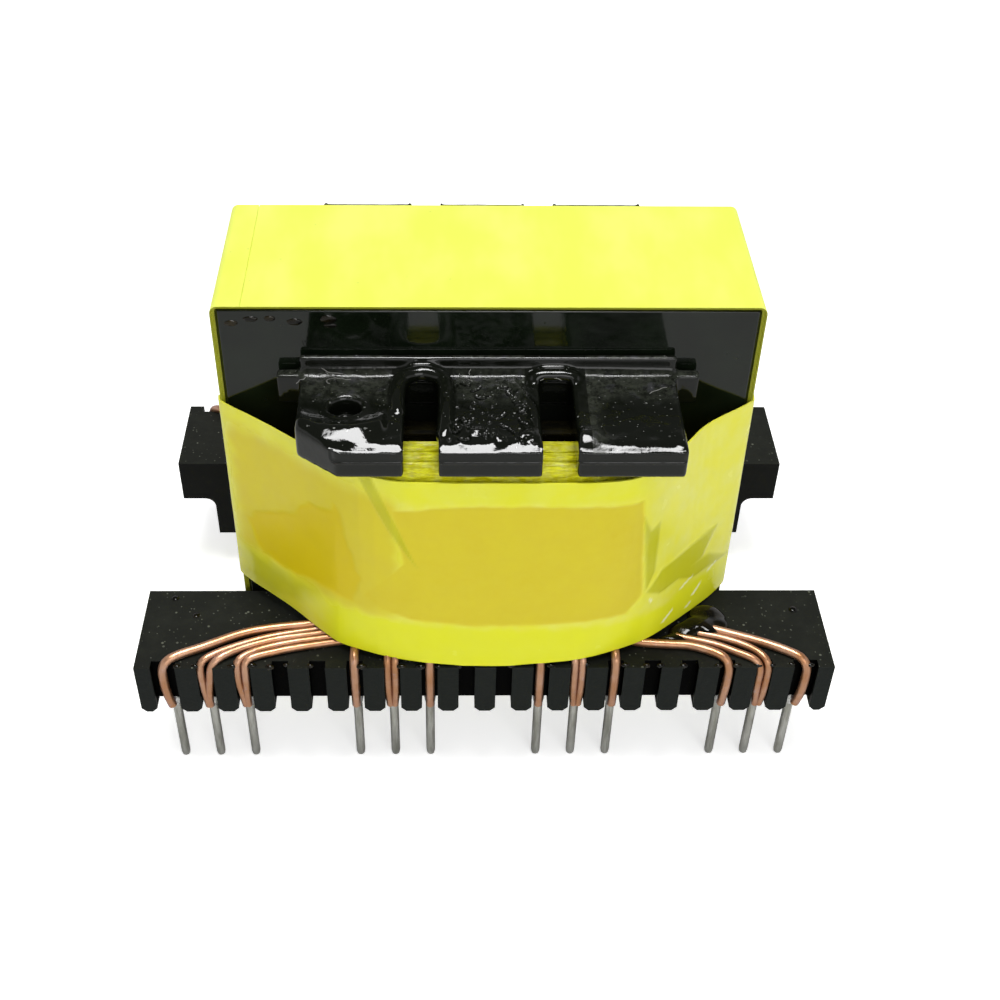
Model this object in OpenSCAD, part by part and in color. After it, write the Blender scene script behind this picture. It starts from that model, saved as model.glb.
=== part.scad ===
// Switch-mode power transformer on a vertical bobbin with two rows of pins.
// X runs along the pin rows, +Z is up. The origin is the centre of the pin
// pattern, on the board that the standoff skirts stand on.

/* [Core] */
// Width of the E core across its outer legs
core_w = 33.8; // [30:0.1:40]
// Depth of the E core, front to rear
core_depth = 12.5; // [10:0.1:15]
// Height of one E half
core_half_h = 13.75; // [12:0.05:17]
// Thickness of the yoke that joins the legs
core_yoke = 4.05; // [3:0.05:5]
// Width of an outer leg
core_leg_w = 5; // [4:0.1:6]
// Width of the centre leg
centre_leg_w = 9.7; // [8:0.1:11]
// Air gap ground into the centre leg
core_gap = 0.4; // [0:0.05:1]
// Chamfer on the upright corners of the outer legs
core_chamfer = 0.6; // [0.2:0.1:1]

/* [Bobbin] */
// Wall of the tube round the centre leg
tube_wall = 1; // [0.6:0.1:1.4]
// Clearance between the core and the inner face of a rail
rail_clear = 0.9; // [0.3:0.1:2]
// Thickness of a rail, front to rear
rail_t = 7.5; // [6:0.1:10]
// Height of a rail above its solid underside
rail_h = 3.6; // [3:0.1:4.5]
// Height of the teeth on a rail's outer face
tooth_h = 4.4; // [3.8:0.1:5]
// Height of the rail tops above the board
standoff_h = 7.3; // [6:0.1:10]
// How far a standoff skirt ends short of its rail's ends
skirt_inset = 2.5; // [1.5:0.1:6]
// Thickness of the standoff skirt
skirt_t = 2; // [1.2:0.1:3]
// Thickness of the upper flange and its tabs
tab_t = 2.1; // [1.5:0.1:2.6]
// Reach of the tabs past the tube
tab_reach = 7.35; // [6.9:0.05:9]
// Width over the three tabs
tabs_w = 23.5; // [18:0.1:29]
// Width of the middle tab
mid_tab_w = 6.2; // [4:0.1:8]
// Width of the slots between the tabs
tab_slot_w = 2.1; // [1:0.1:3]

/* [Terminals] */
// Distance from one pin place to the next
pin_pitch = 2.54; // [2.4:0.01:3.1]
// Diameter of a pin
pin_d = 0.64; // [0.5:0.02:0.8]
// Length of a pin below the standoff skirts
pin_out = 3; // [2:0.1:5]
// Length of a pin held in the rail
pin_in = 2.4; // [1.5:0.1:3]
// Width of a wire slot
slot_w = 1.1; // [0.9:0.01:1.4]
// Depth of a wire slot
slot_depth = 0.7; // [0.5:0.05:0.9]

/* [Winding] */
// Clearance between the finished winding and the outer legs
coil_clear = 0.3; // [0.1:0.05:1]
// Build-up of the winding in front of the tube
coil_build = 6.75; // [5:0.05:6.8]
// Corner radius of the finished winding
coil_r = 5.4; // [4:0.1:7]
// Diameter of a single lead
lead_d = 0.6; // [0.4:0.02:0.74]
// Diameter of each of two leads that share a slot
pair_lead_d = 0.5; // [0.3:0.02:0.54]

/* [Tape] */
// Thickness of the tape layers that bind the core
core_tape_t = 0.3; // [0.1:0.05:0.5]
// Thickness of the tape layers round the legs and the winding
wrap_t = 0.25; // [0.1:0.05:0.5]

/* [Hidden] */
$fn = 48;
SIDES = ["front", "rear"];
PLACES = 18;                            // wire slots on each rail
PIN_PLACES = [1, 2, 3, 6, 7, 8, 11, 12, 13, 16, 17, 18];
PAIRED = [2, 3, 7, 12, 17];             // pins that take two leads

fit = 0.05;                             // running clearance between moulding and core
touch = 0.02;                           // clearance of a wire on what it lies on
layer_gap = 0.04;                       // clearance between winding layers
slack = 1;                              // how far a cut passes the face it opens

core_x = core_w / 2;
core_y = core_depth / 2;
window_x = core_x - core_leg_w;         // inner face of an outer leg
leg_l = core_half_h - core_yoke;        // length of a leg below its yoke
leg_fit = 0.2;                          // play of the tube round the centre leg
bore_x = centre_leg_w / 2 + leg_fit;
bore_y = core_y + leg_fit;
tube_x = bore_x + tube_wall;
tube_y = bore_y + tube_wall;
tube_r = 0.6;
rail_in_y = core_y + rail_clear;        // inner face of a rail
rail_y = rail_in_y + rail_t;            // outer face of a rail
tab_y = tube_y + tab_reach;
flange_x = window_x - fit;
ear_out = 1.45;                         // side ears of the upper flange
ear_t = 0.9;
rib_h = 1.1;                            // upright rib at the root of the tabs
rib_t = 0.5;
yoke_drop = 0.4;                        // lower yoke's top below the rail tops
yoke_z = standoff_h - yoke_drop;
rail_low = standoff_h - rail_h;         // solid underside of a rail
core_mid_z = yoke_z + leg_l;
flange_low_z = yoke_z + fit;
flange_top_z = yoke_z + 2 * leg_l - fit;
flange_ledge = 1;                       // reach of the lower flange past the tube
lead_room = 0.13;                       // room over a lead that runs under the winding
coil_x = window_x - coil_clear;
coil_y = tube_y + coil_build;
coil_low_z = standoff_h + touch + lead_d + lead_room;
coil_top_z = flange_top_z - tab_t;
tape_edge_z = coil_top_z - 0.45;        // top edges of the tape layers
copper_top_z = tape_edge_z - 0.8;       // top of the copper, below the tape edges
wrap_low_z = coil_low_z - 0.05;
wrap_top_z = coil_top_z - 0.65;

tooth_w = pin_pitch - slot_w;
end_slot_w = slot_w + 0.56;             // the outermost slots are wider outwards
end_tooth_w = 1.1;
tooth_in = 1.7;                         // how far a tooth's foot reaches in
tooth_chamfer = 0.35;
skirt_fillet = 0.8;
slot_floor_y = rail_y - slot_depth;
last_x = (PLACES - 1) / 2 * pin_pitch;  // outermost pin place
end_slot_x = last_x - slot_w / 2 + end_slot_w;
rail_x = end_slot_x + end_tooth_w;      // end face of a rail
skirt_x = rail_x - skirt_inset;

pin_cover = 0.13;                       // moulding between a pin and its slot
pin_y = slot_floor_y - pin_cover - pin_d / 2;
pin_top_z = rail_low + pin_in;
solder_t = pin_cover - touch;           // solder round the root of a pin
solder_h = 1.1;
solder_low_z = rail_low - touch - solder_h;
held_d = pin_d - 2 * touch;             // a pin is thinner where solder and rail hold it
lead_end_z = solder_low_z + 0.12;

pit_r = 0.95;                           // pin 1 mark on the front left tab
pit_depth = 1.2;
pit_x = tabs_w / 2 - 2.95;
pit_y = tab_y - 4.1;
mark_x = 2.6;                           // chamfer of the pin 1 tab
mark_y = 2.1;
groove_h = 0.12;                        // mould parting line on the tab tips
groove_depth = 0.08;
groove_drop = 0.92;

// Each layer's place in the build-up, as shares from the tube to the outside
PRIMARY = [0, 0.30];
PRIMARY_TAPE = [0.30, 0.37];
SECONDARY = [0.37, 0.63];
SECONDARY_TAPE = [0.63, 0.70];
AUXILIARY = [0.70, 0.84];
COVER_TAPE = [0.84, 1];

// Routes of the leads over the rail, one for each pin place in turn: where the lead
// comes out from under the winding, points on its way to the turn into its slot, and
// how far in from the rail's outer face the turn begins. Each point is a share of
// that way, and a distance in from the outer face.
turn_x = 1.05;                          // reach of a lead's turn along the rail
function straight(place) = [place_x(place), [], 0];
ROUTES = [
    [0.4 - coil_x, [[0, 3.65], [0.26, 3.6], [0.47, 3.45], [0.66, 3], [0.86, 2.3]], 1.6],
    [0.85 - coil_x, [[0, 2.8], [0.29, 2.75], [0.57, 2.45], [0.79, 2.2]], 1.7],
    [2 - coil_x, [[0, 1.68], [0.26, 1.6], [0.53, 1.5], [0.79, 1.4]], 1.3],
    straight(6), straight(7), straight(8), straight(11), straight(12), straight(13),
    [coil_x - 1.7, [[0, 2.05], [0.36, 1.95], [0.72, 1.75]], 1.4],
    [coil_x - 0.7, [[0, 3.15], [0.27, 3], [0.53, 2.8], [0.77, 2.4]], 1.7],
    [coil_x + 0.1, [[0, 4.05], [0.21, 3.95], [0.42, 3.7], [0.62, 3.2], [0.82, 2.5]], 1.6],
];

// Points of a route, on the rail's top, from under the winding to its slot
function route_points(route, x) =
    let (
        out = sign(x),
        far = x - out * turn_x - route[0],
        near_in = 0.6 * route[2] + 0.4 * slot_depth)
    route[2] == 0
        ? [[x, slot_depth + 0.6 - rail_y], [x, -slot_floor_y]]
        : concat(
            [for (q = route[1]) [route[0] + q[0] * far, q[1] - rail_y]],
            [[x - out * turn_x, route[2] - rail_y], [x - out * 0.3, near_in - rail_y], [x, -slot_floor_y]]);

function place_x(place) = (place - (PLACES + 1) / 2) * pin_pitch;
function paired(place) = len([for (p = PAIRED) if (p == place) p]) > 0;
function side_sign(side) = side == "front" ? 1 : -1;

PIN_NAMES = [for (side = SIDES) for (p = PIN_PLACES) str("pin_", side, "_", p)];
LEAD_NAMES = [for (side = SIDES) for (p = PIN_PLACES) str("lead_", side, "_", p)];

// ---- shared shapes ----

module rounded_rect(half_x, half_y, r) {
    for (sx = [-1, 1]) for (sy = [-1, 1])
        translate([sx * (half_x - r), sy * (half_y - r)]) circle(r);
    square([2 * half_x, 2 * (half_y - r)], center = true);
    square([2 * (half_x - r), 2 * half_y], center = true);
}

module box(x0, x1, y0, y1, z0, z1) {
    translate([x0, y0, z0]) cube([x1 - x0, y1 - y0, z1 - z0]);
}

// What is drawn in the XZ plane, made solid from y0 to y1
module along_y(y0, y1) {
    translate([0, y1, 0]) rotate([90, 0, 0]) linear_extrude(y1 - y0) children();
}

// The child as it is on the front, or turned to the rear by mirroring in Y
module on_side(side) {
    if (side == "front") children();
    else mirror([0, 1, 0]) children();
}

// ---- core ----

module core_half_outline() {
    difference() {
        translate([-core_x, 0]) square([core_w, core_half_h]);
        for (s = [-1, 1])
            translate([s * (window_x + centre_leg_w / 2) / 2, 0])
                square([window_x - centre_leg_w / 2, 2 * leg_l], center = true);
        square([centre_leg_w + slack, core_gap], center = true);
    }
}

// One E half with its legs pointing down, its mating face on z = 0
module core_half() {
    cut = core_chamfer * sqrt(2);
    difference() {
        along_y(-core_y, core_y) core_half_outline();
        for (sx = [-1, 1]) for (sy = [-1, 1])
            translate([sx * core_x, sy * core_y, core_half_h / 2])
                rotate(45)
                    cube([cut, cut, core_half_h + slack], center = true);
    }
}

module upper_core_half() {
    color([0.2, 0.2, 0.22]) translate([0, 0, core_mid_z]) core_half();
}

module lower_core_half() {
    color([0.2, 0.2, 0.22]) translate([0, 0, core_mid_z]) mirror([0, 0, 1]) core_half();
}

module core_binding_tape() {
    color([0.93, 0.95, 0.25])
        translate([0, 0, core_mid_z])
            along_y(-core_y, core_y)
                difference() {
                    rounded_rect(core_x + core_tape_t, core_half_h + core_tape_t, core_tape_t);
                    square([core_w, 2 * core_half_h], center = true);
                }
}

// ---- bobbin ----

// The skirt under a rail seen from the front, with the fillets up to the rail
module skirt_outline() {
    wide = skirt_x + skirt_fillet;
    difference() {
        union() {
            translate([-wide, rail_low - skirt_fillet]) square([2 * wide, skirt_fillet + slack]);
            translate([-skirt_x, 0]) square([2 * skirt_x, rail_low]);
        }
        for (s = [-1, 1])
            translate([s * wide, rail_low - skirt_fillet]) circle(skirt_fillet);
    }
}

// One tooth seen from the front, its lower corners chamfered
module tooth_outline(x0, x1) {
    z0 = standoff_h - tooth_h;
    polygon([
        [x0, standoff_h], [x1, standoff_h],
        [x1, z0 + tooth_chamfer], [x1 - tooth_chamfer, z0],
        [x0 + tooth_chamfer, z0], [x0, z0 + tooth_chamfer]]);
}

module rail_teeth() {
    for (t = [1 : PLACES - 1]) {
        x = (place_x(t) + place_x(t + 1)) / 2;
        tooth_outline(x - tooth_w / 2, x + tooth_w / 2);
    }
    tooth_outline(end_slot_x, rail_x);
    tooth_outline(-rail_x, -end_slot_x);
}

module front_rail() {
    difference() {
        union() {
            box(-rail_x, rail_x, -slot_floor_y, -rail_in_y, rail_low, standoff_h);
            along_y(-rail_in_y - skirt_t, -rail_in_y) skirt_outline();
            along_y(-rail_y, -rail_y + tooth_in) rail_teeth();
        }
        for (p = PIN_PLACES)
            translate([place_x(p), -pin_y, rail_low - slack])
                cylinder(d = held_d + touch, h = pin_in + slack);
    }
}

module tab(x0, x1) {
    difference() {
        box(x0, x1, -tab_y, -tube_y, coil_top_z, flange_top_z);
        box(x0 - slack, x1 + slack, -tab_y - slack, -tab_y + groove_depth,
            flange_top_z - groove_drop - groove_h, flange_top_z - groove_drop);
    }
}

module front_tabs() {
    mid = mid_tab_w / 2;
    side = mid + tab_slot_w;
    tab(-mid, mid);
    tab(side, tabs_w / 2);
    tab(-tabs_w / 2, -side);
    // ears beside the tabs, and the rib along their roots
    box(-flange_x - ear_out, flange_x + ear_out, -bore_y - ear_t, -bore_y,
        coil_top_z, flange_top_z);
    box(-flange_x, flange_x, -bore_y - rib_t, -bore_y, coil_top_z, flange_top_z + rib_h);
}

// The pin 1 mark: a pit in the front left tab, and its corner cut off
module pin_one_mark() {
    translate([-pit_x, -pit_y, flange_top_z - pit_depth]) cylinder(r = pit_r, h = pit_depth + slack);
    translate([0, 0, coil_top_z - slack])
        linear_extrude(tab_t + 2 * slack)
            polygon([
                [-tabs_w / 2 + mark_x, -tab_y - slack], [-tabs_w / 2 + mark_x, -tab_y],
                [-tabs_w / 2, -tab_y + mark_y], [-tabs_w / 2 - slack, -tab_y + mark_y],
                [-tabs_w / 2 - slack, -tab_y - slack]]);
}

module bobbin() {
    color([0.09, 0.09, 0.1])
        difference() {
            union() {
                for (side = SIDES) on_side(side) {
                    front_rail();
                    front_tabs();
                }
                // lower flange, tube and upper flange
                box(-flange_x, flange_x, -tube_y - flange_ledge, tube_y + flange_ledge,
                    flange_low_z, coil_low_z);
                translate([0, 0, flange_low_z])
                    linear_extrude(flange_top_z - flange_low_z)
                        rounded_rect(tube_x, tube_y, tube_r);
                box(-flange_x, flange_x, -tube_y, tube_y, coil_top_z, flange_top_z);
            }
            translate([0, 0, flange_low_z - slack])
                linear_extrude(flange_top_z - flange_low_z + rib_h + slack)
                    rounded_rect(bore_x, bore_y, tube_r / 2);
            pin_one_mark();
        }
}

// ---- windings and tape ----

// Outline of the winding when it is built up by a share of its full thickness
module coil_outline(share) {
    rounded_rect(
        tube_x + share * (coil_x - tube_x),
        tube_y + share * (coil_y - tube_y),
        tube_r + share * (coil_r - tube_r));
}

module coil_layer(shares, top_z) {
    low_z = coil_low_z + layer_gap;
    gap_share = layer_gap / (coil_x - tube_x);
    translate([0, 0, low_z])
        linear_extrude(top_z - low_z)
            difference() {
                coil_outline(shares[1]);
                coil_outline(shares[0] + gap_share);
            }
}

module primary_winding() {
    color([0.72, 0.42, 0.24]) coil_layer(PRIMARY, copper_top_z);
}

module primary_insulation_tape() {
    color([0.9, 0.86, 0.25]) coil_layer(PRIMARY_TAPE, tape_edge_z);
}

module secondary_winding() {
    color([0.76, 0.45, 0.25]) coil_layer(SECONDARY, copper_top_z);
}

module secondary_insulation_tape() {
    color([0.9, 0.86, 0.25]) coil_layer(SECONDARY_TAPE, tape_edge_z);
}

module auxiliary_winding() {
    color([0.72, 0.42, 0.24]) coil_layer(AUXILIARY, copper_top_z);
}

module winding_cover_tape() {
    color([0.92, 0.9, 0.28]) coil_layer(COVER_TAPE, tape_edge_z);
}

// One quarter of the outer wrap's outline: the leg's flat side, the straight run
// to the winding and the arc round the winding's corner
function wrap_quarter(grow) =
    let (
        leg = [core_x + core_tape_t + grow, core_y + grow / 3],
        centre = [coil_x - coil_r, coil_y - coil_r],
        r = coil_r + layer_gap + grow,
        away = leg - centre,
        reach = norm(away),
        start = atan2(away[1], away[0]) + acos(r / reach),
        steps = 10)
    concat([leg], [for (i = [0 : steps])
        let (a = start + (90 - start) * i / steps)
        centre + r * [cos(a), sin(a)]]);

module wrap_outline(grow) {
    quarter = wrap_quarter(grow);
    count = len(quarter);
    left = [for (i = [count - 1 : -1 : 0]) [-quarter[i][0], quarter[i][1]]];
    rear = concat(quarter, left);
    front = [for (i = [len(rear) - 1 : -1 : 0]) [rear[i][0], -rear[i][1]]];
    polygon(concat(rear, front));
}

module outer_wrap_tape() {
    color([0.9, 0.88, 0.3])
        translate([0, 0, wrap_low_z])
            linear_extrude(wrap_top_z - wrap_low_z)
                difference() {
                    wrap_outline(wrap_t);
                    wrap_outline(0);
                }
}

// ---- pins, solder and leads ----

module pin(side, place) {
    color([0.78, 0.78, 0.76])
        on_side(side)
            translate([place_x(place), -pin_y, 0]) {
                translate([0, 0, -pin_out]) cylinder(d = pin_d, h = pin_out + solder_low_z - touch);
                translate([0, 0, -pin_out]) cylinder(d = held_d, h = pin_out + pin_top_z);
            }
}

module solder_joints() {
    color([0.8, 0.8, 0.78])
        for (side = SIDES) on_side(side)
            for (p = PIN_PLACES)
                translate([place_x(p), -pin_y, solder_low_z])
                    difference() {
                        cylinder(d = pin_d + 2 * solder_t, h = solder_h);
                        translate([0, 0, -slack]) cylinder(d = held_d + touch, h = solder_h + 2 * slack);
                    }
}

// A smooth curve through hand-chosen points, with a few steps between each two
function smooth(points, steps) =
    let (last = len(points) - 1)
    concat([for (i = [0 : last - 1]) for (s = [0 : steps - 1])
        let (
            a = points[max(i - 1, 0)], b = points[i], c = points[i + 1], d = points[min(i + 2, last)],
            t = s / steps)
        0.5 * (2 * b + (c - a) * t + (2 * a - 5 * b + 4 * c - d) * t * t
            + (3 * b - a - 3 * c + d) * t * t * t)], [points[last]]);

function unit(v) = v / norm(v);
function square_to(n, t) = unit(n - (n * t) * t);
function carried(tangents, n, i = 0) =
    i == len(tangents) ? [] : let (m = square_to(n, tangents[i])) concat([m], carried(tangents, m, i + 1));

// A round wire swept along the path, closed at both ends
module wire(path, d) {
    sides = 8;
    last = len(path) - 1;
    tangents = [for (i = [0 : last]) unit(path[min(i + 1, last)] - path[max(i - 1, 0)])];
    ups = carried(tangents, [0, 0, 1]);
    rings = [for (i = [0 : last]) for (k = [0 : sides - 1])
        let (a = 360 * (k + 0.5) / sides, across = cross(tangents[i], ups[i]))
        path[i] + d / 2 * (cos(a) * across + sin(a) * ups[i])];
    walls = [for (i = [0 : last - 1]) for (k = [0 : sides - 1])
        [i * sides + k, i * sides + (k + 1) % sides,
            (i + 1) * sides + (k + 1) % sides, (i + 1) * sides + k]];
    start_cap = [for (k = [sides - 1 : -1 : 0]) k];
    end_cap = [for (k = [0 : sides - 1]) last * sides + k];
    polyhedron(rings, concat([start_cap], walls, [end_cap]));
}

// Path of one lead: over the rail by its route, round the rail's edge and down its
// slot. A pair of leads keeps side by side, each shifted square to the route.
function lead_path(index, d, shift) =
    let (
        x = place_x(PIN_PLACES[index]),
        lie = d / 2 + touch,
        line = smooth(route_points(ROUTES[index], x), 2),
        last = len(line) - 1,
        over = [for (i = [0 : last])
            let (way = i == last ? [0, -1] : unit(line[i + 1] - line[max(i - 1, 0)]))
            [line[i][0] - shift * way[1], line[i][1] + shift * way[0], standoff_h + lie]],
        bend = [for (a = [30 : 30 : 90])
            [x + shift, -slot_floor_y - lie * sin(a), standoff_h + lie * cos(a)]])
    concat(over, bend, [[x + shift, -slot_floor_y - lie, lead_end_z]]);

module lead(side, index) {
    color([0.8, 0.5, 0.3])
        on_side(side)
            if (paired(PIN_PLACES[index]))
                for (s = [-1, 1])
                    wire(lead_path(index, pair_lead_d, s * (pair_lead_d + touch) / 2), pair_lead_d);
            else wire(lead_path(index, lead_d, 0), lead_d);
}

// ---- assembly ----

bobbin();
upper_core_half();
lower_core_half();
core_binding_tape();
primary_winding();
primary_insulation_tape();
secondary_winding();
secondary_insulation_tape();
auxiliary_winding();
winding_cover_tape();
outer_wrap_tape();
solder_joints();
for (side = SIDES) for (i = [0 : len(PIN_PLACES) - 1]) {
    pin(side, PIN_PLACES[i]);
    lead(side, i);
}
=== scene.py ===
"""Board-mounted transformer: taped ferrite core, varnished bobbin, leads and pins.

Each operator makes one piece, or a group of like pieces, over the fixed frame.
Shapes are worked out in millimetres and become metres when a piece is finished.
"""

import math
import random

import bmesh
import bpy
from bpy.props import FloatProperty, FloatVectorProperty, IntProperty, PointerProperty
from mathutils import Matrix, Vector, noise


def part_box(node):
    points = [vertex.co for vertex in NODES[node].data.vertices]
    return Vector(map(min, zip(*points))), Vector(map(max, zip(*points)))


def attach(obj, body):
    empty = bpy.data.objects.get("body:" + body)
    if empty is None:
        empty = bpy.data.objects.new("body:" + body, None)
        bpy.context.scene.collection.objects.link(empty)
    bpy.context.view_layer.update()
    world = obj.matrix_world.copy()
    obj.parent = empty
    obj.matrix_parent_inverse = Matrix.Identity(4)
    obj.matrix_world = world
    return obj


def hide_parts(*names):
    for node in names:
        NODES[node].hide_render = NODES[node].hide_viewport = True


bl_info = {
    "name": "Board transformer",
    "version": (1, 0, 0),
    "blender": (4, 5, 0),
    "location": "3D View > Sidebar > Transformer",
    "description": "Makes the visible pieces of a board-mounted transformer",
    "category": "Add Mesh",
}

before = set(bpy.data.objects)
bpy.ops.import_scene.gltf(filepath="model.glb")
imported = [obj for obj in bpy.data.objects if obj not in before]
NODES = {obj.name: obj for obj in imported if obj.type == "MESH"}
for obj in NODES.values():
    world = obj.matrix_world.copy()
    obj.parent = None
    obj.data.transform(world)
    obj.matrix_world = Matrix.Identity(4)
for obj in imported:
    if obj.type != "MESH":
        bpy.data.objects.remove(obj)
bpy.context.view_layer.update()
MM = 0.001


def box_mm(node):
    """Lowest and highest corner of a node of the frame, in millimetres."""
    low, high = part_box(node)
    return Vector(low) / MM, Vector(high) / MM


CORE_LOW = box_mm("lower_core_half")[0]
CORE_HIGH = box_mm("upper_core_half")[1]
WRAP_TOP = box_mm("outer_wrap_tape")[1].z
WINDING_LOW, WINDING_TOP = (corner.z for corner in box_mm("winding_cover_tape"))
PIN_TIP = box_mm("pin_front_1")[0].z
TAB_TIP = box_mm("bobbin")[1].y
# Heights on the moulding: top of the rails, underside of the slots' lips, the level where
# the varnished flange is parted from the rest, and the top of the tabs.
RAIL_TOP = 7.3
SLOT_LOW = 2.95
FLANGE_CUT = 24.1
TAB_TOP = 26.25
TAB_SLOT_X = 4.15  # middle of the slots between the tabs
MARK_X, MARK_Y, MARK_RADIUS = -8.8, -10.7, 0.95  # the pit that marks pin 1
PITCH = 2.54
PLACES = (1, 2, 3, 6, 7, 8, 11, 12, 13, 16, 17, 18)
PINS = [(side, sign, place) for side, sign in (("front", 1), ("rear", -1)) for place in PLACES]


def place_x(place):
    """X of a pin place, counted from the marked end of the rail."""
    return (place - 9.5) * PITCH


# ---- sizes and colours a user would change ----


def length(name, description, size):
    """A length that a user can set, given in millimetres."""
    return FloatProperty(name=name, description=description, default=size * MM, unit="LENGTH")


def shade(name, description, colour):
    """A colour that a user can set."""
    return FloatVectorProperty(name=name, description=description, default=colour, subtype="COLOR", size=3)


class MouldingSettings(bpy.types.PropertyGroup):
    """Bobbin moulding and the varnish on it."""

    edge: length("Edge radius", "Rounding of the moulding's edges", 0.12)
    grain: length("Varnish grain", "Size of the cells that the varnished flange is built from", 0.14)
    wave: length("Varnish wave", "Height of the waves in the varnish on the tabs", 0.05)
    colour: shade("Moulding", "Colour of the moulded plastic", (0.0045, 0.0055, 0.0035))
    dust: shade("Dust", "Colour of the dust on the rails and tabs", (0.06, 0.066, 0.05))


class CoreSettings(bpy.types.PropertyGroup):
    """Ferrite core."""

    edge: length("Edge radius", "Rounding of the ground edges", 0.08)
    colour: shade("Ferrite", "Colour of the ferrite", (0.003, 0.005, 0.0025))


class TapeSettings(bpy.types.PropertyGroup):
    """Film tapes round the core and the winding."""

    film: length("Film", "Thickness of one layer of tape", 0.07)
    binding: shade("Binding tape", "Colour of the tape round the core", (0.86, 0.93, 0.1))
    wrap: shade("Wrap tape", "Colour of the outer wrap where air lies under it", (0.80, 0.78, 0.05))
    wetted: shade("Wetted wrap", "Colour of the outer wrap where copper lies under it", (0.68, 0.56, 0.018))
    stuck: shade("Stuck wrap", "Colour of the outer wrap where varnish sticks it down", (0.7, 0.55, 0.004))
    # This colour also paints shade at the lower left of the wrap.
    folded_and_shaded: shade("Folded wrap", "Colour of the outer wrap where it is folded double", (0.5, 0.5, 0.012))


class LeadSettings(bpy.types.PropertyGroup):
    """Leads, pins and solder."""

    single: length("Single lead", "Diameter of a lead that has a slot to itself", 0.63)
    paired: length("Paired lead", "Diameter of a lead that shares its slot", 0.53)
    pin: length("Pin", "Diameter of a pin", 0.64)
    copper: shade("Copper", "Colour of the enamelled copper", (0.37, 0.17, 0.07))
    seed: IntProperty(name="Seed", description="Start of the small random differences", default=7)


class StageSettings(bpy.types.PropertyGroup):
    """Floor, lamps and camera."""

    lamp: FloatProperty(name="Lamp", description="Power of the overhead lamp in watts", default=0.9)
    sky: FloatProperty(name="Sky", description="Strength of the light from all round", default=0.42)


SETTINGS = (
    ("transformer_moulding", MouldingSettings),
    ("transformer_core", CoreSettings),
    ("transformer_tape", TapeSettings),
    ("transformer_leads", LeadSettings),
    ("transformer_stage", StageSettings),
)


# ---- finishes ----


def sum_of(operation, swapped=False):
    """A method of Value that does one kind of sum with another value or a number."""
    def act(self, other=0.0):
        return self.maths(operation, *((other, self) if swapped else (self, other)))
    return act


class Value:
    """A socket in a finish's node tree, so that shader maths reads as a formula."""

    def __init__(self, finish, socket):
        self.finish = finish
        self.socket = socket

    def maths(self, operation, *values):
        return self.finish.node("Math", {"operation": operation}, dict(enumerate(values)))

    __add__ = __radd__ = sum_of("ADD")
    __sub__ = sum_of("SUBTRACT")
    __rsub__ = sum_of("SUBTRACT", swapped=True)
    __mul__ = __rmul__ = sum_of("MULTIPLY")
    __gt__ = sum_of("GREATER_THAN")
    __lt__ = sum_of("LESS_THAN")
    __abs__ = sum_of("ABSOLUTE")

    def between(self, low, high):
        """0 below low, 1 above high, smooth between."""
        return self.finish.node(
            "MapRange", {"interpolation_type": "SMOOTHSTEP"},
            {"Value": self, "From Min": low, "From Max": high})


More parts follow.
